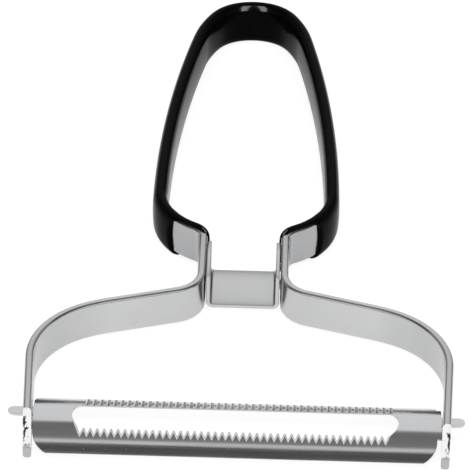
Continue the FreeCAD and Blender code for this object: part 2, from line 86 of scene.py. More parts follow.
crown = (neck_foot + neck_length + (bulge_radius + shoulder_radius) * sine(turn) + leg_height
         + arch_radius * (1 - cosine(arch_angle)))

# The right half of the wire from the top of the loop: a bend is (radius, degrees turned), and a straight is
# (length, 0).
half_bends = [
    (arch_radius, -arch_angle),
    (leg_radius, arch_angle - 90),
    (bulge_radius, -turn),
    (shoulder_radius, turn),
    (neck_length, 0),
    (neck_bend, 90 - arm_slope),
    (arm_straight, 0),
    (arm_radius, -arm_sweep),
    (tip_radius, arm_end - 90 - lug_lean),
    ((lug_drop - lug_clear) / cosine(lug_lean), 0),
]


def bend_length(amount, bend):
    return amount * math.radians(abs(bend)) if bend else amount


def walk(bends, longest=2.5, widest=2.5):
    """Stations (x, y, heading, distance) down the right half of the wire from the top of the loop, no more
    than the longest in mm or the widest in degrees apart."""
    x, y, heading, gone = 0.0, crown, 0.0, 0.0
    stations = [(x, y, heading, gone)]
    for amount, bend in bends:
        length = bend_length(amount, bend)
        steps = max(2, math.ceil(length / longest), math.ceil(abs(bend) / widest))
        for step in range(steps):
            chord = length / steps
            half_bend = bend / steps / 2
            if bend:
                chord = 2 * amount * sine(abs(half_bend))
            heading += half_bend
            x += chord * cosine(heading)
            y += chord * sine(heading)
            heading += half_bend
            gone += length / steps
            stations.append((x, y, heading, gone))
    return stations


def wire_section(thick, width, edge, rise, bow=0.0, side_rows=23, corner_rows=8, inner_columns=7):
    """Outline across a flat wire as (across, up): one side up, the top, the other side down, then the bottom.
    Its corners are rounded by the edge across and by the rise up, and the bow draws each side in towards
    them. Rows on the two sides pair up, so an end can be closed with a grid. The numbers of points on a side
    and on the top come with it."""
    flat_up = width / 2 - rise
    flat_across = thick / 2 - bow - edge
    right = []
    for step in range(corner_rows + 1):
        angle = -90 + 90 * step / corner_rows
        right.append((flat_across + edge * cosine(angle), -flat_up + rise * sine(angle)))
    for step in range(1, side_rows):
        up = -flat_up + 2 * flat_up * step / side_rows
        right.append((thick / 2 - bow * (up / flat_up) ** 2, up))
    for step in range(corner_rows + 1):
        angle = 90 * step / corner_rows
        right.append((flat_across + edge * cosine(angle), flat_up + rise * sine(angle)))
    inner = [flat_across * (1 - 2 * (k + 1) / (inner_columns + 1)) for k in range(inner_columns)]
    top = [(a, width / 2) for a in inner]
    left = [(-a, b) for a, b in reversed(right)]
    bottom = [(-a, -width / 2) for a in inner]
    return right + top + left + bottom, len(right), inner_columns


section, side_count, inner_columns = wire_section(strip_thick, strip_width, strip_edge, strip_edge)


def beside(station, across):
    """Place in plan, in mm from the pivot line's middle, this far across the wire from its middle line."""
    x, y, heading = station[:3]
    return x - across * sine(heading), y + across * cosine(heading)


def at_station(station, across, up, mirror):
    """Point of the wire in metres, across from its middle line and up from the pivot's height."""
    x, y = beside(station, across)
    return Vector((mirror * x, pivot.y + y, pivot.z + up)) * MM


def clamped(share):
    return min(1.0, max(0.0, share))


# How a cropped end tears, in mm. Noise makes it ragged, with this many cells to the millimetre, and differs
# between the two ends. A patch of painted shade lies inside rims painted bright as a highlight, and the torn
# part stands back from the cut.
cells_across, cells_up, ends_apart, noise_depth = 1.6, 1.1, 7.0, 3.0
land_ragged, tear_fade = 0.6, 0.9
top_rim, top_fade, foot_fade = 1.2, 0.8, 2.4
inner_rim, inner_ragged, inner_fade = 0.05, 0.9, 0.3
outer_rim, outer_ragged, outer_fade = 0.95, 0.3, 0.15
stand_back, back_ragged, back_slope, slope_start = 0.12, 0.16, 0.3, -0.05
painted_highlight_level = 0.5


def tear_and_painted_light(across, up, mirror):
    """How far the cropped end stands back from its cut plane, in mm, and its tear with painted light there: 0
    is sheared, a half is painted bright as a highlight and 1 is painted dark as shade."""
    spot = Vector((across * cells_across + ends_apart * mirror, up * cells_up, noise_depth + mirror))
    ragged = noise.fractal(spot, 1.0, 2.0, 4)
    above_land = up - (cut_land - strip_width / 2) + land_ragged * ragged
    tearing = clamped(above_land / tear_fade)
    # The dark patch is painted shade, for the pits and sides of the torn face that lie in shade.
    dark = clamped((strip_width / 2 - top_rim - up) / top_fade) * clamped(above_land / foot_fade)
    dark *= clamped((across - inner_rim + inner_ragged * ragged) / inner_fade)
    dark *= clamped((outer_rim - across + outer_ragged * ragged) / outer_fade)
    slope = max(0.0, across - slope_start) * back_slope
    set_back = tearing * (stand_back + back_ragged * ragged + slope)
    return set_back, tearing * (painted_highlight_level + (1 - painted_highlight_level) * dark)


def cut_place(across, up, mirror):
    """Where the cropped end lies below the pivot, in mm along the lug."""
    land = cut_land - strip_width / 2
    rise = clamped((up - land) / (strip_width / 2 - land))
    return -lug_tail + (lug_tail - lug_tops[mirror]) * rise + tear_and_painted_light(across, up, mirror)[0]


def quads_between(mesh, one, other):
    """Join two closed rings of vertices with quads."""
    count = len(one)
    for k in range(count):
        mesh.faces.new((one[k], one[(k + 1) % count], other[(k + 1) % count], other[k]))


def new_object(name, data):
    made = bpy.data.objects.new(name, data)
    bpy.context.scene.collection.objects.link(made)
    return made


def new_piece(name, mesh, body, node_name):
    """A finished piece: it rides on its body and stands for its CAD node, which it hides."""
    made = new_object(name, mesh)
    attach(made, body)
    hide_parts(node_name)
    return made


def mesh_of(mesh, name, sharp):
    """A plain mesh from edit data, smooth except at edges sharper than the given degrees."""
    bmesh.ops.recalc_face_normals(mesh, faces=mesh.faces)
    plain = bpy.data.meshes.new(name)
    mesh.to_mesh(plain)
    mesh.free()
    plain.shade_smooth()
    plain.set_sharp_from_angle(angle=math.radians(sharp))
    return plain


def cut_mesh(blank, tool, name, sharp):
    """The blank's mesh with its modifiers applied and the tool cut out of it. Both objects are removed."""
    cut = blank.modifiers.new("cut", "BOOLEAN")
    cut.operation = "DIFFERENCE"
    cut.solver = "EXACT"
    cut.use_self = True
    cut.material_mode = "TRANSFER"
    cut.object = tool
    depsgraph = bpy.context.evaluated_depsgraph_get()
    made = bpy.data.meshes.new_from_object(blank.evaluated_get(depsgraph))
    made.name = name
    made.shade_smooth()
    made.set_sharp_from_angle(angle=math.radians(sharp))
    for used in (blank, tool):
        bpy.data.objects.remove(used)
    return made


strip_mesh = bmesh.new()
along_layer = strip_mesh.loops.layers.uv.new("along")
# Painted light: this layer carries each vertex's tear, with painted highlight and shade on the cropped ends.
tear_and_painted_light_layer = strip_mesh.verts.layers.float.new("tear_and_painted_light")
# Painted shade: how much darker the wire is painted near the coat and in its tight bends.
painted_shade_layer = strip_mesh.verts.layers.float.new("painted_shade")
right_half = walk(half_bends)
perimeter = [0.0]
for one, other in zip(section, section[1:]):
    perimeter.append(perimeter[-1] + math.hypot(other[0] - one[0], other[1] - one[1]))
bend_ends = [0.0]
for amount, bend in half_bends:
    bend_ends.append(bend_ends[-1] + bend_length(amount, bend))
# How much painted shade darkens the wire at the top of the loop and at the end of each bend: most by the
# coat, then where it is bent tightly. It stands for the dark coat and shaded table that the steel mirrors.
painted_shade_levels = [1.0, 1.0, 1.0, 1.0, 0.75, 0.55, 0.2, 0.0, 0.25, 0.75, 0.6]
along_of = {}


def painted_shade(distance):
    """How much painted shade darkens the wire at a distance from the top of the loop."""
    for k in range(1, len(bend_ends)):
        if distance <= bend_ends[k]:
            share = (distance - bend_ends[k - 1]) / (bend_ends[k] - bend_ends[k - 1])
            return painted_shade_levels[k - 1] + share * (painted_shade_levels[k] - painted_shade_levels[k - 1])
    return painted_shade_levels[-1]


def strip_vert(place, distance, round_it, tearing=0.0):
    """A vertex of the wire, with its distance along the wire and round it in mm, and its tear with painted
    light.
    """
    vert = strip_mesh.verts.new(place)
    vert[tear_and_painted_light_layer] = tearing
    vert[painted_shade_layer] = painted_shade(abs(distance))
    along_of[vert] = Vector((distance, round_it)) * MM
    return vert


def strip_ring(station, mirror):
    """A ring round the wire at a station of its right half, or at the same place on its left half."""
    ring = []
    for k, (across, up) in enumerate(section):
        ring.append(strip_vert(at_station(station, across, up, mirror), mirror * station[3], perimeter[k]))
    return ring


def on_lug(across, y, up, mirror):
    """Point of a lug in metres; each lug leans in towards its end."""
    x = lug_half + y * lug_slope + across / cosine(lug_lean)
    return Vector((mirror * x, pivot.y + y, pivot.z + up)) * MM


rings = [strip_ring(s, -1) for s in reversed(right_half[1:])]
rings += [strip_ring(s, 1) for s in right_half]
for one, other in zip(rings, rings[1:]):
    quads_between(strip_mesh, one, other)
end_rows = 9
walked = right_half[-1][3]
for mirror, last in ((-1, rings[0]), (1, rings[-1])):
    for row in range(1, end_rows + 1):
        share = row / end_rows
        ring = []
        for k, (across, up) in enumerate(section):
            y = lug_clear + share * (cut_place(across, up, mirror) - lug_clear)
            tearing = tear_and_painted_light(across, up, mirror)[1] if row == end_rows else 0.0
            spot = on_lug(across, y, up, mirror)
            ring.append(strip_vert(spot, mirror * (walked + lug_clear - y), perimeter[k], tearing))
        quads_between(strip_mesh, last, ring)
        last = ring
    right_side = last[:side_count]
    left_side = list(reversed(last[side_count + inner_columns:2 * side_count + inner_columns]))
    top_row = last[side_count:side_count + inner_columns]
    bottom_row = list(reversed(last[2 * side_count + inner_columns:]))
    rows = []
    for k in range(side_count):
        if k == 0:
            between = bottom_row
        elif k == side_count - 1:
            between = top_row
        else:
            between = []
            across, up = section[k]
            for column in range(inner_columns):
                a = across * (1 - 2 * (column + 1) / (inner_columns + 1))
                spot = on_lug(a, cut_place(a, up, mirror), up, mirror)
                between.append(strip_vert(spot, mirror * (walked + a), up, tear_and_painted_light(a, up, mirror)[1]))
        rows.append([right_side[k]] + between + [left_side[k]])
    for one, other in zip(rows, rows[1:]):
        for k in range(len(one) - 1):
            strip_mesh.faces.new((one[k], one[k + 1], other[k + 1], other[k])).material_index = 1
for face in strip_mesh.faces:
    for corner in face.loops:
        corner[along_layer].uv = along_of[corner.vert]


def colour(code):
    """Linear colour of an sRGB hex code."""
    parts = [int(code[k:k + 2], 16) / 255 for k in (1, 3, 5)]
    return tuple(p / 12.92 if p <= 0.04045 else ((p + 0.055) / 1.055) ** 2.4 for p in parts) + (1.0,)


def node(tree, kind, values=None, links=None, stops=None, **settings):
    """Add one node with its properties, input values and links, and a ramp's stops as (place, colour)."""
    made = tree.nodes.new(kind)
    for name, value in settings.items():
        setattr(made, name, value)
    for name, value in (values or {}).items():
        made.inputs[name].default_value = value
    for name, socket in (links or {}).items():
        tree.links.new(socket, made.inputs[name])
    if stops:
        for place, paint in stops[1:-1]:
            made.color_ramp.elements.new(place).color = paint
        made.color_ramp.elements[0].color = stops[0][1]
        made.color_ramp.elements[-1].color = stops[-1][1]
    return made


def blank_material(name):
    """A named material and its node tree, emptied."""
    made = bpy.data.materials.new(name)
    made.use_nodes = True
    made.node_tree.nodes.clear()
    return made, made.node_tree


def fine_lines(tree, vector, scale, detail):
    """Noise drawn out into fine lines, with this many cells to the metre along each axis."""
    stretched = node(tree, "ShaderNodeMapping", {"Scale": scale}, {"Vector": vector})
    return node(tree, "ShaderNodeTexNoise", {"Scale": 1.0, "Detail": detail},
                {"Vector": stretched.outputs["Vector"]})


# Drawn stainless: the die leaves fine lines along the wire, so its gloss and tone vary across it, not along
# it. The lines are some 0.02 mm apart on the real wire and are drawn 0.3 mm apart here, because finer ones
# don't show. Near the coat and in the tight bends the wire is painted darker, as painted shade for the dark
# coat and shaded table that the steel mirrors there.
strip_finish, tree = blank_material("stainless_drawn_wire")
line_gap, line_stretch, cloud = 0.3 * MM, 0.02, 7.0 * MM
grain = node(tree, "ShaderNodeUVMap", uv_map="along")
lines = fine_lines(tree, grain.outputs[0], (line_stretch / line_gap, 1 / line_gap, 1.0), detail=3.0)
place = node(tree, "ShaderNodeTexCoord")
clouds = node(tree, "ShaderNodeTexNoise", {"Scale": 1 / cloud, "Detail": 4.0},
              {"Vector": place.outputs["Object"]})
mixed = node(tree, "ShaderNodeMath", {1: 0.5}, {0: lines.outputs["Fac"], 2: clouds.outputs["Fac"]},
             operation="MULTIPLY_ADD")
tone = node(tree, "ShaderNodeValToRGB", links={"Fac": clouds.outputs["Fac"]},
            stops=[(0.0, colour("#C2C3C4")), (1.0, colour("#CECECE"))])
# Painted shade: the wire's tone is darkened near the coat and in the tight bends.
painted_shade_share = node(tree, "ShaderNodeAttribute", attribute_name="painted_shade")
# A Mix node's colour sockets go by number, because each data type's sockets have the same names.
mix_factor, mix_first, mix_second, mix_result = 0, 6, 7, 2
darkened = node(tree, "ShaderNodeMix", {mix_second: colour("#DCDCDD")},
                {mix_factor: painted_shade_share.outputs["Fac"], mix_first: tone.outputs["Color"]},
                data_type="RGBA", blend_type="MULTIPLY")
gloss = node(tree, "ShaderNodeMapRange", {"From Min": 0.5, "From Max": 1.0, "To Min": 0.17, "To Max": 0.26},
             {"Value": mixed.outputs[0]})
relief = node(tree, "ShaderNodeBump", {"Strength": 0.1, "Distance": 0.01 * MM},
              {"Height": lines.outputs["Fac"]})
shader = node(tree, "ShaderNodeBsdfPrincipled", {"Metallic": 1.0},
              {"Base Color": darkened.outputs[mix_result], "Roughness": gloss.outputs[0],
               "Normal": relief.outputs[0]})
node(tree, "ShaderNodeOutputMaterial", links={"Surface": shader.outputs[0]})

# Cropped stainless: grey and smooth where the blade sheared it. Where the rest tore away it is grainy and
# sparkling, painted near white as a highlight on its rims and painted dark as shade inside them. The grains
# are some 0.25 mm across.
end_finish, tree = blank_material("stainless_cropped_end")
grain_size, grain_spread = 0.25 * MM, 0.9
# Painted light: the near white tones are a painted highlight and the darkest ones painted shade.
end_tones_with_painted_light = [(0.0, "#B2B3B4"), (0.16, "#B6B6B7"), (0.26, "#FAFAFA"), (0.7, "#F8F8F8"), (0.79, "#4A4A4B"),
             (1.0, "#161617")]
tear_and_painted_light_amount = node(tree, "ShaderNodeAttribute", attribute_name="tear_and_painted_light")
place = node(tree, "ShaderNodeTexCoord")
grains = node(tree, "ShaderNodeTexNoise", {"Scale": 1 / grain_size, "Detail": 3.0},
              {"Vector": place.outputs["Object"]})
swing = node(tree, "ShaderNodeMath", {1: 0.5}, {0: grains.outputs["Fac"]}, operation="SUBTRACT")
grain_and_painted_light = node(tree, "ShaderNodeMath", {1: grain_spread}, {0: swing.outputs[0], 2: tear_and_painted_light_amount.outputs["Fac"]},
              operation="MULTIPLY_ADD")
tone = node(tree, "ShaderNodeValToRGB", links={"Fac": grain_and_painted_light.outputs[0]},
            stops=[(stop, colour(code)) for stop, code in end_tones_with_painted_light])
bare = node(tree, "ShaderNodeMapRange", {"From Min": 0.1, "From Max": 0.45, "To Min": 1.0, "To Max": 0.15},
            {"Value": grain_and_painted_light.outputs[0]})
gloss = node(tree, "ShaderNodeMapRange", {"From Min": 0.0, "From Max": 1.0, "To Min": 0.28, "To Max": 0.55},
             {"Value": grain_and_painted_light.outputs[0]})
relief = node(tree, "ShaderNodeBump", {"Distance": 0.06 * MM},
              {"Height": grains.outputs["Fac"], "Strength": tear_and_painted_light_amount.outputs["Fac"]})
shader = node(tree, "ShaderNodeBsdfPrincipled",
              links={"Base Color": tone.outputs["Color"], "Metallic": bare.outputs[0],
                     "Roughness": gloss.outputs[0], "Normal": relief.outputs[0]})
node(tree, "ShaderNodeOutputMaterial", links={"Surface": shader.outputs[0]})

# The punch runs through both lugs, and the holes' walls keep the cropped finish.
punch_length = 1.2 * lug_gap
strip_blank = new_object("strip_blank", mesh_of(strip_mesh, "strip_blank", sharp=35))
punch_mesh = bmesh.new()
bmesh.ops.create_cone(punch_mesh, cap_ends=True, segments=64, radius1=pivot_hole * MM,
                      radius2=pivot_hole * MM, depth=punch_length * MM,
                      matrix=Matrix.Translation(pivot * MM) @ Matrix.Rotation(math.radians(90), 4, "Y"))
punch = new_object("punch", mesh_of(punch_mesh, "punch", sharp=35))
punch.data.materials.append(end_finish)
for finish in (strip_finish, end_finish):
    strip_blank.data.materials.append(finish)
pierced = cut_mesh(strip_blank, punch, "frame_strip_wire", sharp=35)
new_piece("frame_strip_wire", pierced, "frame", "frame_strip")

# Grip coat
# Black PVC plastisol: the loop is dipped arch first, drained and cured, which leaves a glossy skin about 1 mm
# thick. It ends in a rounded lip that runs further along the wire's edges than on its faces.
coat = 1.0
dip_level, dip_slope = 4.5, 27.5
lower_start, lower_fade, lower_short = 0.35, 1.5, 0.7
lip, lip_run = 0.8, 3.0
face_bow, face_corner = 0.4, 0.5
skin_edge, skin_rise, skin_bow = 1.7, 2.8, 0.12
flow_reach, flow_window, flow_samples = 18.0, 8.5, 17
skin_section = wire_section(strip_thick + 2 * coat, strip_width + 2 * coat, skin_edge, skin_rise, skin_bow)[0]
loop_bends = half_bends[:5]
loop_half_path = walk(loop_bends, longest=1.5, widest=2.0)


def station_at(distance):
    """Station of the right half at a distance from the top of the loop, between the walked ones."""
    for one, other in zip(loop_half_path, loop_half_path[1:]):
        if distance <= other[3]:
            share = (distance - one[3]) / (other[3] - one[3])
            return tuple(p + share * (q - p) for p, q in zip(one, other))
    return loop_half_path[-1]


def flowed(distance):
    """Station of the skin at a distance from the top of the loop: the paste rounds off the turn from arch to
    leg, and less and less away from it."""
    window = flow_window * max(0.0, 1 - ((distance - bend_ends[1]) / flow_reach) ** 2) ** 2
    spots = [distance + window * (2 * k / (flow_samples - 1) - 1) for k in range(flow_samples)]
    return tuple(sum(values) / flow_samples for values in zip(*[station_at(spot) for spot in spots]))


def dip_end(across, up, halvings=40):
    """Distance along the wire at which the coat ends on this line of its skin. It runs less far on the lower
    edge."""
    lower = clamped((-up - lower_start * strip_width) / lower_fade)
    line_across = across + lower_short * lower * (strip_thick / 2 + coat - across)
    low, high = 0.5 * loop_half_path[-1][3], loop_half_path[-1][3]
    for halving in range(halvings):
        middle = (low + high) / 2
        x, y = beside(station_at(middle), line_across)
        if y > neck_middle + dip_level + x * math.tan(math.radians(dip_slope)):
            low = middle
        else:
            high = middle
    share = abs(up) / (strip_width / 2)
    corner = clamped((abs(up) - (strip_width / 2 + coat - face_corner)) / face_corner)
    rounding = face_corner * (1 - math.sqrt(1 - corner ** 2))
    frontward = clamped(0.5 + across / (strip_thick + 2 * coat))
    return low + (face_bow * share ** 2 + rounding) * frontward


coat_mesh = bmesh.new()
ends = [dip_end(a, b) for a, b in skin_section]
main_end = min(ends) - lip_run
lip_rows = [0.25, 0.45, 0.6, 0.72, 0.8, 0.86, 0.9, 0.935, 0.96, 0.98, 0.993, 1.0]


def skin_ring(distances, mirror, thick):
    """One ring of the skin: each line of it has its own distance along the wire and its own share of the
    thickness. With no thickness it lies on the wire."""
    ring = []
    for inner, outer, distance, share in zip(section, skin_section, distances, thick):
        across, up = [i + share * (o - i) for i, o in zip(inner, outer)]
        station = flowed(distance) if share else station_at(distance)
        ring.append(coat_mesh.verts.new(at_station(station, across, up, mirror)))
    return ring


def square_ring(distance, mirror, outside):
    """A ring square across the wire, on the skin's outside or on the wire."""
    return skin_ring([distance] * len(section), mirror, [1.0 if outside else 0.0] * len(section))


def lip_thickness(left):
    """Share of the skin's full thickness this far before its end."""
    short = max(0.0, 1 - left / lip)
    return math.sqrt(max(0.0, 1 - short ** 2))


def skin_rows(mirror, outside):
    """Rings from the first station after the top of the loop to the lip's edge."""
    main = [s[3] for s in loop_half_path if 0 < s[3] < main_end] + [main_end]
    made = [square_ring(distance, mirror, outside) for distance in main]
    for share in lip_rows:
        spots = [main_end + share * (end - main_end) for end in ends]
        thick = [lip_thickness(end - spot) if outside else 0.0 for spot, end in zip(spots, ends)]
        made.append(skin_ring(spots, mirror, thick))
    return made


for outside in (True, False):
    middle_ring = square_ring(0.0, 1, outside)
    rows = list(reversed(skin_rows(-1, outside))) + [middle_ring] + skin_rows(1, outside)
    for one, other in zip(rows, rows[1:]):
        quads_between(coat_mesh, one, other)
bmesh.ops.remove_doubles(coat_mesh, verts=coat_mesh.verts, dist=1e-7)

# Dipped PVC: flows smooth before it cures, so it is glossy with a slight orange peel some 3 mm across.
coat_finish, tree = blank_material("pvc_dip_coat_gloss")
peel_size = 3.0 * MM
place = node(tree, "ShaderNodeTexCoord")
peel = node(tree, "ShaderNodeTexNoise", {"Scale": 1 / peel_size, "Detail": 2.0},
            {"Vector": place.outputs["Object"]})
gloss = node(tree, "ShaderNodeMapRange", {"From Min": 0.3, "From Max": 0.7, "To Min": 0.1, "To Max": 0.17},
             {"Value": peel.outputs["Fac"]})
black = node(tree, "ShaderNodeValToRGB", links={"Fac": peel.outputs["Fac"]},
             stops=[(0.0, colour("#050506")), (1.0, colour("#0B0B0C"))])
relief = node(tree, "ShaderNodeBump", {"Strength": 0.15, "Distance": 0.05 * MM},
              {"Height": peel.outputs["Fac"]})
shader = node(tree, "ShaderNodeBsdfPrincipled", {"IOR": 1.5, "Specular IOR Level": 0.02},
              {"Base Color": black.outputs["Color"], "Roughness": gloss.outputs[0],
               "Normal": relief.outputs[0]})
node(tree, "ShaderNodeOutputMaterial", links={"Surface": shader.outputs[0]})
skin = mesh_of(coat_mesh, "grip_coat_skin", sharp=60)
grip = new_piece("grip_coat_skin", skin, "frame", "grip_coat")
skin.materials.append(coat_finish)

# Bridge bracket
# A strip of 1 mm stainless sheet folded into a channel, spot welded by its two ears between the necks.
# It holds the necks apart, open side up. Each ear stands a little off its neck on two weld buttons.
bracket_sheet, bracket_depth, bracket_length = 1.0, 9.8, 15.1
bracket_fold, bracket_shift = 0.8, -1.7
broken_edge, least_edge = 0.14, 0.02
weld_gap, weld_radius = 0.2, 1.2
ear_half = bracket_width / 2 - weld_gap
bracket_middle = pivot.y + neck_middle + bracket_shift
fold_rows, ear_rows = 10, (0.35, 0.7, 1.0)


def channel_line(half, floor, fold):
    """Half of the channel's outline as (x, z), from the middle of its web out and up to the ear's end."""
    line = [(0.0, floor), ((half - fold) / 2, floor)]
    for step in range(fold_rows + 1):
        angle = -90 + 90 * step / fold_rows
        line.append((half - fold + fold * cosine(angle), floor + fold + fold * sine(angle)))
    ear_top = bracket_depth - strip_width / 2
    for share in ear_rows:
        line.append((half, floor + fold + share * (ear_top - broken_edge - floor - fold)))
    return line


def channel_ring(mesh, y, inset):
    """A closed ring of the channel's section at a place along the neck, drawn in by the inset."""
    web = -strip_width / 2
    outer = channel_line(ear_half - inset, web + inset, bracket_fold + bracket_sheet - inset)
    inner = channel_line(ear_half - bracket_sheet + inset, web + bracket_sheet - inset, bracket_fold + inset)
    ear_top = bracket_depth - strip_width / 2 - inset
    edge = max(broken_edge - inset, least_edge)
    outer_tip = (outer[-1][0] - edge, ear_top)
    inner_tip = (inner[-1][0] + edge, ear_top)
    right = outer + [outer_tip, inner_tip] + list(reversed(inner))
    left = [(-x, z) for x, z in reversed(right[1:-1])]
    return [mesh.verts.new(Vector((x, bracket_middle + y, pivot.z + z)) * MM) for x, z in right + left]


bracket_mesh = bmesh.new()
half_length = bracket_length / 2
# Places and insets of the rings round each broken end, from the end inwards.
end_steps = [(0.0, broken_edge), (0.04, 0.4 * broken_edge), (broken_edge, 0.0)]
rows = [channel_ring(bracket_mesh, -half_length + step, inset) for step, inset in end_steps]
rows.append(channel_ring(bracket_mesh, 0.0, 0.0))
rows += [channel_ring(bracket_mesh, half_length - step, inset) for step, inset in reversed(end_steps)]
for one, other in zip(rows, rows[1:]):
    quads_between(bracket_mesh, one, other)
for ring in (rows[0], rows[-1]):
    count = len(ring) // 2 + 1
    right_end = ring[:count]
    left_end = [ring[0]] + list(reversed(ring[count:])) + [ring[count - 1]]
    for line in (right_end, left_end):
        for k in range(count // 2 - 1):
            bracket_mesh.faces.new((line[k], line[k + 1], line[count - 2 - k], line[count - 1 - k]))
for side in (-1, 1):
    for y in (-bracket_length / 4, bracket_length / 4):
        button = Vector((side * (ear_half + weld_gap / 2), bracket_middle + y, pivot.z)) * MM
        bmesh.ops.create_cone(bracket_mesh, cap_ends=True, segments=32, radius1=weld_radius * MM,
                              radius2=weld_radius * MM, depth=weld_gap * MM,
                              matrix=Matrix.Translation(button) @ Matrix.Rotation(math.radians(90), 4, "Y"))

# Cold rolled sheet: duller than the drawn wire, with faint rolling lines along the neck and a cloudy tone.
# The rolling lines are finer on the real sheet and are drawn 0.35 mm apart, so that they show.
bracket_finish, tree = blank_material("stainless_rolled_sheet")
roll_gap, roll_stretch = 0.35 * MM, 0.03
place = node(tree, "ShaderNodeTexCoord")
lines = fine_lines(tree, place.outputs["Object"],
                   (1 / roll_gap, roll_stretch / roll_gap, 1 / roll_gap), detail=3.0)
clouds = node(tree, "ShaderNodeTexNoise", {"Scale": 1 / cloud, "Detail": 4.0},
              {"Vector": place.outputs["Object"]})
mixed = node(tree, "ShaderNodeMath", links={0: lines.outputs["Fac"], 1: clouds.outputs["Fac"]},
             operation="ADD")
tone = node(tree, "ShaderNodeValToRGB", links={"Fac": clouds.outputs["Fac"]},
            stops=[(0.0, colour("#C0C1C2")), (1.0, colour("#CACACA"))])
gloss = node(tree, "ShaderNodeMapRange", {"From Min": 0.7, "From Max": 1.3, "To Min": 0.22, "To Max": 0.26},
             {"Value": mixed.outputs[0]})
shader = node(tree, "ShaderNodeBsdfPrincipled", {"Metallic": 1.0},
              {"Base Color": tone.outputs["Color"], "Roughness": gloss.outputs[0]})
node(tree, "ShaderNodeOutputMaterial", links={"Surface": shader.outputs[0]})
channel = mesh_of(bracket_mesh, "bridge_bracket_channel", sharp=50)
new_piece("bridge_bracket_channel", channel, "frame", "bridge_bracket")
channel.materials.append(bracket_finish)

# Swivel blade
# Hard stainless sheet, 0.7 mm, blanked with slot and end tabs, rolled to a trough and ground along both slot
# edges into flutes and teeth. Its tabs turn freely in the lugs' holes, and it lies slid a little to the left.
blade_sheet, blade_radius, blade_angle = 0.7, 14.5, 46.5
blade_end_gap, blade_corner, corner_past, blade_break = 0.9, 4.6, 0.2, 0.07
shoulder_angle, shoulder_play, slid_left = 22.3, 0.25, 0.45
tab_width, tab_reach = 3.0, 3.7
slot_length, slot_front, slot_back, slot_bow = 77.0, 4.8, 3.4, 1.95
tooth_pitch, flute_count = 1.63, 45
front_flute, front_depth, front_bar, front_aside, front_sides = 2.82, 1.46, 1.7, 0.94, 4
back_flute, back_depth, back_bar, back_aside, back_sides = 4.4, 0.32, 0.6, 0.4, 8
blade_half = lug_gap / 2 - blade_end_gap
# The slide moves the body. The shoulders keep to the lugs, and the left tab ends where the solid's does.
shoulder_half = {-1: lug_gap / 2 - shoulder_play - slid_left, 1: lug_gap / 2 - shoulder_play + slid_left}
tab_half = {-1: lug_gap / 2 + strip_thick + tab_reach - slid_left, 1: lug_gap / 2 + strip_thick + tab_reach}
wing_reach = blade_radius * sine(blade_angle)
corner_start = wing_reach + corner_past - blade_corner
trough_centre = pivot.z + (blade_sheet / 2 - blade_radius)
row_step, outer_row_step, corner_steps = 0.8, 1.0, 16
edge_columns, middle_columns, tab_columns = 12, 40, 8


def round_trough(y):
    """Angle round the trough, in degrees, at a distance from the crest in plan."""
    return math.degrees(math.asin(y / blade_radius))


tab_angle = round_trough(tab_width / 2)
slot_straight = slot_length / 2 - slot_bow
slot_middle = (slot_back - slot_front) / 2
slot_round = (((slot_front + slot_back) / 2) ** 2 + slot_bow ** 2) / (2 * slot_bow)


def spread(low, high, count):
    return [low + (high - low) * k / count for k in range(count + 1)]


def angles_between(low, high, widest):
    return spread(low, high, max(1, math.ceil((high - low) / widest)))


def half_rows(slot_edge):
    """Angles of the mesh's rows from the crest to one long edge, with a row on the slot's edge."""
    rows = angles_between(0.0, tab_angle, row_step)
    rows += angles_between(tab_angle, round_trough(slot_edge), row_step)[1:]
    rows += angles_between(round_trough(slot_edge), shoulder_angle, outer_row_step)[1:]
    rows += angles_between(shoulder_angle, round_trough(corner_start), outer_row_step)[1:]
    steepest = math.degrees(math.asin((wing_reach - corner_start) / blade_corner))
    for k in range(1, corner_steps + 1):
        rows.append(round_trough(corner_start + blade_corner * sine(steepest * k / corner_steps)))
    return rows


angle_rows = [-a for a in reversed(half_rows(slot_front)[1:])] + half_rows(slot_back)


def body_end(angle):
    """Half length of the blade's body at this angle round the trough, with its corners rounded in plan."""
    past = max(0.0, blade_radius * sine(abs(angle)) - corner_start)
    return blade_half - blade_corner + math.sqrt(blade_corner ** 2 - past ** 2)


def slot_end(angle):
    """Half length of the slot at this angle, or of its straight edge outside the slot."""
    y = blade_radius * sine(angle)
    if y < -slot_front or y > slot_back:
        return slot_straight
    return slot_straight + slot_bow - slot_round + math.sqrt(slot_round ** 2 - (y - slot_middle) ** 2)


def tab_end(angle, mirror):
    """Distance of a tab's end from the blade's middle at this angle: its tip is fully rounded."""
    y = blade_radius * sine(angle)
    tip = tab_width / 2
    return tab_half[mirror] - tip + math.sqrt(max(0.0, tip * tip - y * y))


def on_sheet(x, angle, radius):
    """Point of the sheet in metres, along the blade and at an angle and radius round the trough."""
    y = pivot.y + radius * sine(angle)
    return Vector((x - slid_left, y, trough_centre + radius * cosine(angle))) * MM


blade_mesh = bmesh.new()
corner_of = {}


def sheet_vert(x, angle):
    """The sheet's outer and inner vertex at a place along the blade and an angle round it, made once."""
    key = (round(x, 4), round(angle, 4))
    if key not in corner_of:
        outer = blade_mesh.verts.new(on_sheet(x, angle, blade_radius))
        inner = blade_mesh.verts.new(on_sheet(x, angle, blade_radius - blade_sheet))
        corner_of[key] = (outer, inner)
    return corner_of[key]


def sheet_block(rows, line_of):
    """Quads on both faces of the sheet; line_of gives the places along the blade for one angle."""
    for low, high in zip(rows, rows[1:]):
        lows, highs = line_of(low), line_of(high)
        for k in range(len(lows) - 1):
            pairs = []
            for x, angle in ((lows[k], low), (lows[k + 1], low), (highs[k + 1], high), (highs[k], high)):
                pair = sheet_vert(x, angle)
                if pair not in pairs:
                    pairs.append(pair)
            if len(pairs) > 2:
                blade_mesh.faces.new([p[0] for p in pairs])
                blade_mesh.faces.new([p[1] for p in reversed(pairs)])


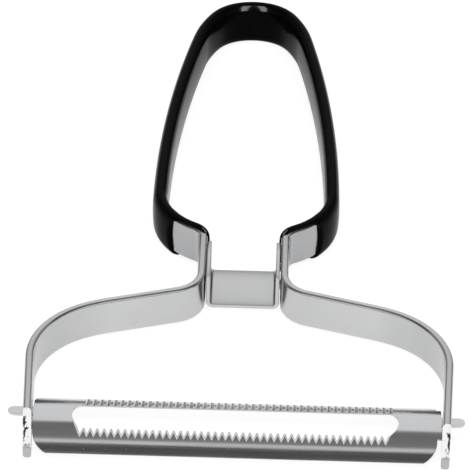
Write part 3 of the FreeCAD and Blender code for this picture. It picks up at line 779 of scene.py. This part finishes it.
same_angle = 1e-6
tab_rows = [a for a in angle_rows if abs(a) <= tab_angle + same_angle]
shoulder_rows = [a for a in angle_rows if abs(a) <= shoulder_angle + same_angle]
for mirror in (-1, 1):
    shoulder = shoulder_half[mirror]
    sheet_block(angle_rows, lambda a: [mirror * x for x in spread(slot_end(a), body_end(a), edge_columns)])
    sheet_block(shoulder_rows, lambda a: [mirror * blade_half, mirror * shoulder])
    sheet_block(tab_rows, lambda a: [mirror * x for x in spread(shoulder, tab_end(a, mirror), tab_columns)])
front_rows = [a for a in angle_rows if a <= -round_trough(slot_front) + same_angle]
back_rows = [a for a in angle_rows if a >= round_trough(slot_back) - same_angle]
for rows in (front_rows, back_rows):
    sheet_block(rows, lambda a: spread(-slot_straight, slot_straight, middle_columns))
partner = {pair[0]: pair[1] for pair in corner_of.values()}
for rim in [e for e in blade_mesh.edges if len(e.link_faces) == 1 and e.verts[0] in partner]:
    one, other = rim.verts
    blade_mesh.faces.new((one, other, partner[other], partner[one]))

# Rolled and polished hard sheet: mirror bright under fine polishing lines along the blade, with specks of
# wear. The lines are much finer on the real blade and are drawn 0.4 mm apart, so that they show.
blade_finish, tree = blank_material("stainless_polished_sheet")
polish_gap, polish_stretch, speck_gap, speck_dull = 0.4 * MM, 0.02, 2.4 * MM, 0.35
place = node(tree, "ShaderNodeTexCoord")
lines = fine_lines(tree, place.outputs["Object"],
                   (polish_stretch / polish_gap, 1 / polish_gap, 1 / polish_gap), detail=4.0)
specks = node(tree, "ShaderNodeTexVoronoi", {"Scale": 1 / speck_gap, "Randomness": 1.0},
              {"Vector": place.outputs["Object"]})
near_speck = node(tree, "ShaderNodeMapRange",
                  {"From Min": 0.03, "From Max": 0.07, "To Min": 1.0, "To Max": 0.0},
                  {"Value": specks.outputs["Distance"]})
tone = node(tree, "ShaderNodeValToRGB", links={"Fac": lines.outputs["Fac"]},
            stops=[(0.0, colour("#C4C5C7")), (1.0, colour("#D2D2D3"))])
gloss = node(tree, "ShaderNodeMapRange", {"From Min": 0.3, "From Max": 0.7, "To Min": 0.1, "To Max": 0.18},
             {"Value": lines.outputs["Fac"]})
worn = node(tree, "ShaderNodeMath", {1: speck_dull}, {0: near_speck.outputs[0], 2: gloss.outputs[0]},
            operation="MULTIPLY_ADD")
relief = node(tree, "ShaderNodeBump", {"Strength": 0.2, "Distance": 0.01 * MM},
              {"Height": lines.outputs["Fac"]})
shader = node(tree, "ShaderNodeBsdfPrincipled", {"Metallic": 1.0},
              {"Base Color": tone.outputs["Color"], "Roughness": worn.outputs[0],
               "Normal": relief.outputs[0]})
node(tree, "ShaderNodeOutputMaterial", links={"Surface": shader.outputs[0]})

# Ground steel: the wheel leaves fine scratches along each flute, across the blade. The front flutes cut the
# peel and are honed to satin; their white is a painted highlight, a pale and barely metallic colour. The back
# ones only guide it and stay bright, with two lines of painted shade to the pitch, drawn to one side of the
# flute's middle, where the grooves' corners lie in shade.
flute_finishes = {}
scratch_gap, scratch_stretch, shade_lines_aside = 0.15 * MM, 0.05, -0.45
# Painted shade: the dark tones draw two lines of shade to the pitch on the back flutes.
groove_shade_tones = [(0.0, "#FFFFFF"), (0.13, "#FFFFFF"), (0.18, "#6C6C6D"), (0.25, "#6C6C6D"), (0.3, "#C8C8C9"),
                (1.0, "#C8C8C9")]
# Painted highlight: the front flutes are pale and barely metallic, so they look lit.
for edge, dark, pale, metal in (("Front", "#DCDCDC", "#ECECEC", 0.35), ("Back", "#E0E0E1", "#ECECED", 1.0)):
    flute_finishes[edge], tree = blank_material("stainless_ground_flute_" + edge.lower())
    place = node(tree, "ShaderNodeTexCoord")
    lines = fine_lines(tree, place.outputs["Object"],
                       (1 / scratch_gap, scratch_stretch / scratch_gap, scratch_stretch / scratch_gap),
                       detail=3.0)
    tint = node(tree, "ShaderNodeValToRGB", links={"Fac": lines.outputs["Fac"]},
                stops=[(0.0, colour(dark)), (1.0, colour(pale))]).outputs["Color"]
    gloss = node(tree, "ShaderNodeMapRange",
                 {"From Min": 0.3, "From Max": 0.7, "To Min": 0.25, "To Max": 0.4},
                 {"Value": lines.outputs["Fac"]})
    if edge == "Back":
        parts = node(tree, "ShaderNodeSeparateXYZ", links={"Vector": place.outputs["Object"]})
        pitches = node(tree, "ShaderNodeMath",
                       {1: 1 / (tooth_pitch * MM), 2: 0.5 - (back_aside + shade_lines_aside) / tooth_pitch},
                       {0: parts.outputs["X"]}, operation="MULTIPLY_ADD")
        within = node(tree, "ShaderNodeMath", links={0: pitches.outputs[0]}, operation="FRACT")
        centred = node(tree, "ShaderNodeMath", {1: 0.5}, {0: within.outputs[0]}, operation="SUBTRACT")
        off_centre = node(tree, "ShaderNodeMath", links={0: centred.outputs[0]}, operation="ABSOLUTE")
        groove_shade = node(tree, "ShaderNodeValToRGB", links={"Fac": off_centre.outputs[0]},
                       stops=[(stop, colour(code)) for stop, code in groove_shade_tones])
        tint = node(tree, "ShaderNodeMix", {mix_factor: 1.0},
                    {mix_first: tint, mix_second: groove_shade.outputs["Color"]},
                    data_type="RGBA", blend_type="MULTIPLY").outputs[mix_result]
    shader = node(tree, "ShaderNodeBsdfPrincipled", {"Metallic": metal},
                  {"Base Color": tint, "Roughness": gloss.outputs[0]})
    node(tree, "ShaderNodeOutputMaterial", links={"Surface": shader.outputs[0]})

# The grinding wheel's passes along both slot edges: one bar for each flute. The front ones are square and lie
# corner down, which grinds a V, and the back ones have eight sides and lie flat side down.
flutes = bpy.data.node_groups.new("ground_flutes", "GeometryNodeTree")
flutes.interface.new_socket("Geometry", in_out="OUTPUT", socket_type="NodeSocketGeometry")
given = {}


def wanted(name, kind, value):
    """A named input of the tree and its value."""
    given[flutes.interface.new_socket(name, in_out="INPUT", socket_type=kind).identifier] = value


wanted("Count", "NodeSocketInt", flute_count)
wanted("Pitch", "NodeSocketFloat", tooth_pitch * MM)
for edge, from_crest, length, depth, aside, bar, sides, bar_roll in (
        ("Front", slot_front, front_flute, front_depth, front_aside, front_bar, front_sides, 0.0),
        ("Back", slot_back, back_flute, back_depth, back_aside, back_bar, back_sides, 180 / back_sides)):
    sweep = math.degrees(length / blade_radius)
    end = round_trough(from_crest) + sweep
    fall = depth + blade_radius * (1 - cosine(sweep))
    lean = end - math.degrees(math.atan(fall / (blade_radius * sine(sweep))))
    bar_up = bar * cosine(bar_roll)
    height = blade_sheet / 2 - blade_radius * (1 - cosine(end)) + bar_up * cosine(lean)
    wanted(edge + " Bar", "NodeSocketFloat", bar * MM)
    wanted(edge + " Sides", "NodeSocketInt", sides)
    wanted(edge + " Roll", "NodeSocketFloat", math.radians(bar_roll))
    wanted(edge + " Aside", "NodeSocketFloat", aside * MM)
    wanted(edge + " Run", "NodeSocketFloat", math.radians(end) * blade_radius * MM)
    wanted(edge + " From Crest", "NodeSocketFloat", (blade_radius * sine(end) + bar_up * sine(lean)) * MM)
    wanted(edge + " Height", "NodeSocketFloat", height * MM)
    wanted(edge + " Turn", "NodeSocketFloat", math.radians(90 - lean))
    wanted(edge + " Finish", "NodeSocketMaterial", flute_finishes[edge])
entry = node(flutes, "NodeGroupInput").outputs
less_one = node(flutes, "ShaderNodeMath", {1: 1.0}, {0: entry["Count"]}, operation="SUBTRACT")
whole = node(flutes, "ShaderNodeMath", links={0: less_one.outputs[0], 1: entry["Pitch"]},
             operation="MULTIPLY")
first = node(flutes, "ShaderNodeMath", {1: -0.5}, {0: whole.outputs[0]}, operation="MULTIPLY")
start = node(flutes, "ShaderNodeCombineXYZ", links={"X": first.outputs[0]})
offset = node(flutes, "ShaderNodeCombineXYZ", links={"X": entry["Pitch"]})
row_points = node(flutes, "GeometryNodeMeshLine",
                  links={"Count": entry["Count"], "Start Location": start.outputs[0],
                         "Offset": offset.outputs[0]})
both = node(flutes, "GeometryNodeJoinGeometry")
for edge, half_turn in (("Front", math.pi), ("Back", 0.0)):
    bar_mesh = node(flutes, "GeometryNodeMeshCylinder", fill_type="NGON",
                    links={"Vertices": entry[edge + " Sides"], "Radius": entry[edge + " Bar"],
                           "Depth": entry[edge + " Run"]})
    half_run = node(flutes, "ShaderNodeMath", {1: 0.5}, {0: entry[edge + " Run"]}, operation="MULTIPLY")
    foot_up = node(flutes, "ShaderNodeCombineXYZ", links={"Z": half_run.outputs[0]})
    rolled = node(flutes, "ShaderNodeCombineXYZ", links={"Z": entry[edge + " Roll"]})
    stood = node(flutes, "GeometryNodeTransform",
                 links={"Geometry": bar_mesh.outputs["Mesh"], "Translation": foot_up.outputs[0],
                        "Rotation": rolled.outputs[0]})
    leaning = node(flutes, "ShaderNodeCombineXYZ", links={"X": entry[edge + " Turn"]})
    spot = node(flutes, "ShaderNodeCombineXYZ",
                links={"X": entry[edge + " Aside"], "Y": entry[edge + " From Crest"],
                       "Z": entry[edge + " Height"]})
    placed = node(flutes, "GeometryNodeTransform",
                  links={"Geometry": stood.outputs[0], "Translation": spot.outputs[0],
                         "Rotation": leaning.outputs[0]})
    rowed = node(flutes, "GeometryNodeInstanceOnPoints",
                 links={"Points": row_points.outputs[0], "Instance": placed.outputs[0]})
    faced = node(flutes, "GeometryNodeTransform", {"Rotation": (0.0, 0.0, half_turn)},
                 {"Geometry": rowed.outputs[0]})
    real = node(flutes, "GeometryNodeRealizeInstances", links={"Geometry": faced.outputs[0]})
    finished = node(flutes, "GeometryNodeSetMaterial",
                    links={"Geometry": real.outputs[0], "Material": entry[edge + " Finish"]})
    flutes.links.new(finished.outputs[0], both.inputs[0])
node(flutes, "NodeGroupOutput", links={"Geometry": both.outputs[0]})

wheel = new_object("wheel_passes", bpy.data.meshes.new("wheel_passes"))
passes = wheel.modifiers.new("ground_flutes", "NODES")
passes.node_group = flutes
for identifier, value in given.items():
    passes[identifier] = value
wheel_mesh = bpy.data.meshes.new_from_object(wheel.evaluated_get(bpy.context.evaluated_depsgraph_get()))
wheel.modifiers.clear()
wheel_mesh.transform(Matrix.Translation(pivot * MM))
wheel.data = wheel_mesh

blade_blank = new_object("blade_blank", mesh_of(blade_mesh, "blade_blank", sharp=35))
blade_blank.data.materials.append(blade_finish)
broken = blade_blank.modifiers.new("broken_edges", "BEVEL")
broken.width = blade_break * MM
broken.segments = 2
broken.limit_method = "ANGLE"
broken.angle_limit = math.radians(60)
broken.use_clamp_overlap = False
ground = cut_mesh(blade_blank, wheel, "swivel_blade_sheet", sharp=25)

# The cut leaves long faces round each flute, so the trough's own faces take the normals of the roll.
nearly_radial = 0.995
normals = [Vector(n.vector) for n in ground.corner_normals]


def from_axis(point):
    """Direction from the trough's axis to a point."""
    return Vector((0.0, point.y - pivot.y * MM, point.z - trough_centre * MM)).normalized()


for face in ground.polygons:
    outward = face.normal.dot(from_axis(face.center))
    if face.material_index == 0 and abs(outward) > nearly_radial:
        for corner in face.loop_indices:
            radial = from_axis(ground.vertices[ground.loops[corner].vertex_index].co)
            normals[corner] = radial if outward > 0 else -radial
ground.normals_split_custom_set(normals)
new_piece("swivel_blade_sheet", ground, "blade", "swivel_blade")

# Stage
# A white table, a soft light from above, two strobes for the coat's glints, and a camera on a long lens above
# the blade's end. The steel mirrors bands of light and dark that reach over the peeler from front to back.
table_half, table_drop = 3.0, 0.0002
table_mesh = bpy.data.meshes.new("table")
table_corners = [(x * table_half, y * table_half, 0) for x, y in ((-1, -1), (1, -1), (1, 1), (-1, 1))]
table_mesh.from_pydata(table_corners, [], [(0, 1, 2, 3)])
table = new_object("table", table_mesh)
table.location.z = -table_drop


def grey(level):
    """A linear grey."""
    return (level, level, level, 1.0)


# The table glows so that the camera and the steel see it white with faint shadows. To the rest of the light
# it is plain paper.
table_finish, tree = blank_material("white_table")
light_path = node(tree, "ShaderNodeLightPath").outputs
mirrored = node(tree, "ShaderNodeMath",
                links={0: light_path["Is Glossy Ray"], 1: light_path["Is Transmission Ray"]},
                operation="ADD", use_clamp=True)
paper = node(tree, "ShaderNodeBsdfDiffuse", {"Color": grey(0.8)})
glowing = {}
for viewer, glow, shade in (("camera", 0.88, 0.22), ("steel", 0.5, 0.65)):
    white = node(tree, "ShaderNodeEmission", {"Color": grey(1.0), "Strength": glow})
    shaded = node(tree, "ShaderNodeBsdfDiffuse", {"Color": grey(shade)})
    glowing[viewer] = node(tree, "ShaderNodeAddShader", links={0: white.outputs[0], 1: shaded.outputs[0]})
unseen = node(tree, "ShaderNodeMixShader",
              links={0: mirrored.outputs[0], 1: paper.outputs[0], 2: glowing["steel"].outputs[0]})
shown = node(tree, "ShaderNodeMixShader",
             links={0: light_path["Is Camera Ray"], 1: unseen.outputs[0], 2: glowing["camera"].outputs[0]})
node(tree, "ShaderNodeOutputMaterial", links={"Surface": shown.outputs[0]})
table_mesh.materials.append(table_finish)

# Bands of light and dark as (degrees from the front horizon over to the back one, level). They fade to the
# sides, apart from the low band in front.
front_end, front_gone = 44.0, 50.0
studio_bands = [(0.0, 0.4), (11.0, 0.4), (14.0, 1.0), (front_end, 1.0), (front_gone, 0.1), (68.7, 0.1),
                (70.2, 0.85), (76.0, 0.85), (78.0, 0.26), (112.0, 0.2), (116.0, 0.95), (160.0, 0.95),
                (172.0, 0.7), (180.0, 0.7)]
world = bpy.data.worlds.new("studio")
bpy.context.scene.world = world
world.use_nodes = True
tree = world.node_tree
tree.nodes.clear()
toward = node(tree, "ShaderNodeTexCoord")
parts = node(tree, "ShaderNodeSeparateXYZ", links={"Vector": toward.outputs["Generated"]})
to_front = node(tree, "ShaderNodeMath", {1: -1.0}, {0: parts.outputs["Y"]}, operation="MULTIPLY")
over = node(tree, "ShaderNodeMath", links={0: parts.outputs["Z"], 1: to_front.outputs[0]},
            operation="ARCTAN2")
way_over = node(tree, "ShaderNodeMath", {1: 1 / math.pi}, {0: over.outputs[0]}, operation="MULTIPLY")
studio = node(tree, "ShaderNodeValToRGB", links={"Fac": way_over.outputs[0]},
              stops=[(degrees / 180, grey(level)) for degrees, level in studio_bands])
light_path = node(tree, "ShaderNodeLightPath").outputs
sideways = node(tree, "ShaderNodeMath", links={0: parts.outputs["X"]}, operation="ABSOLUTE")
dim = node(tree, "ShaderNodeMapRange", {"From Min": 0.25, "From Max": 0.5, "To Min": 1.0, "To Max": 0.4},
           {"Value": sideways.outputs[0]})
low_front = node(tree, "ShaderNodeMapRange",
                 {"From Min": front_end / 180, "From Max": front_gone / 180, "To Min": 1.0, "To Max": 0.0},
                 {"Value": way_over.outputs[0]})
strength = node(tree, "ShaderNodeMath", links={0: dim.outputs[0], 1: low_front.outputs[0]},
                operation="MAXIMUM")
around = node(tree, "ShaderNodeBackground",
              links={"Color": studio.outputs["Color"], "Strength": strength.outputs[0]})
backdrop = node(tree, "ShaderNodeBackground", {"Color": grey(1.0), "Strength": 1.0})
shown = node(tree, "ShaderNodeMixShader",
             links={0: light_path["Is Camera Ray"], 1: around.outputs[0], 2: backdrop.outputs[0]})
node(tree, "ShaderNodeOutputWorld", links={"Surface": shown.outputs[0]})


def area_light(name, wide, tall, power, place):
    """A rectangular lamp at a place in metres, still facing straight down."""
    lamp = bpy.data.lights.new(name, "AREA")
    lamp.shape = "RECTANGLE"
    lamp.size, lamp.size_y = wide, tall
    lamp.energy = power
    made = new_object(name, lamp)
    made.location = place
    return made


# The soft light hangs over the front of the table, turned a little away from the peeler, and doesn't show in
# the steel.
soft_front, soft_height = -0.55, 1.0
soft_light = area_light("soft_light", wide=1.0, tall=0.8, power=11.0, place=(0.0, soft_front, soft_height))
soft_light.rotation_euler.x = math.atan2(soft_front, soft_height)
soft_light.visible_glossy = False

# The strobes light the coat alone, because the steel mirrors the bands.
strobe_aside, strobe_front, strobe_height = 0.39, -0.77, 0.5
coat_only = bpy.data.collections.new("coat_only")
coat_only.objects.link(grip)
for side in (-1, 1):
    strobe = area_light("strobe", wide=0.33, tall=1.3, power=150.0,
                        place=(side * strobe_aside, strobe_front, strobe_height))
    strobe.rotation_euler = (-Vector(strobe.location)).to_track_quat("-Z", "Y").to_euler()
    strobe.visible_diffuse = False
    strobe.light_linking.receiver_collection = coat_only

frame_pixels, focal_pixels = 470, 3472.0
aim_pixel = (243.5, 270.0)
aim_behind = 60.37
elevation, azimuth, camera_roll, camera_distance = 35.0, 0.7, 1.2, 868.0
aim = (pivot + Vector((0.0, aim_behind, 0.0))) * MM
back_way = Vector((sine(azimuth) * cosine(elevation), -cosine(azimuth) * cosine(elevation), sine(elevation)))
lens = bpy.data.cameras.new("camera")
lens.sensor_width = 36.0
lens.lens = focal_pixels * lens.sensor_width / frame_pixels
lens.clip_start, lens.clip_end = 0.05, 50.0
camera = new_object("camera", lens)
look = (-back_way).to_track_quat("-Z", "Y").to_matrix() @ Matrix.Rotation(math.radians(camera_roll), 3, "Z")
pan = math.atan((aim_pixel[0] - frame_pixels / 2) / focal_pixels)
lift = math.atan((aim_pixel[1] - frame_pixels / 2) / focal_pixels)
look = look @ Matrix.Rotation(pan, 3, "Y") @ Matrix.Rotation(lift, 3, "X")
camera.matrix_world = Matrix.Translation(aim + back_way * camera_distance * MM) @ look.to_4x4()
bpy.context.scene.camera = camera
bpy.context.scene.view_settings.view_transform = "Standard"
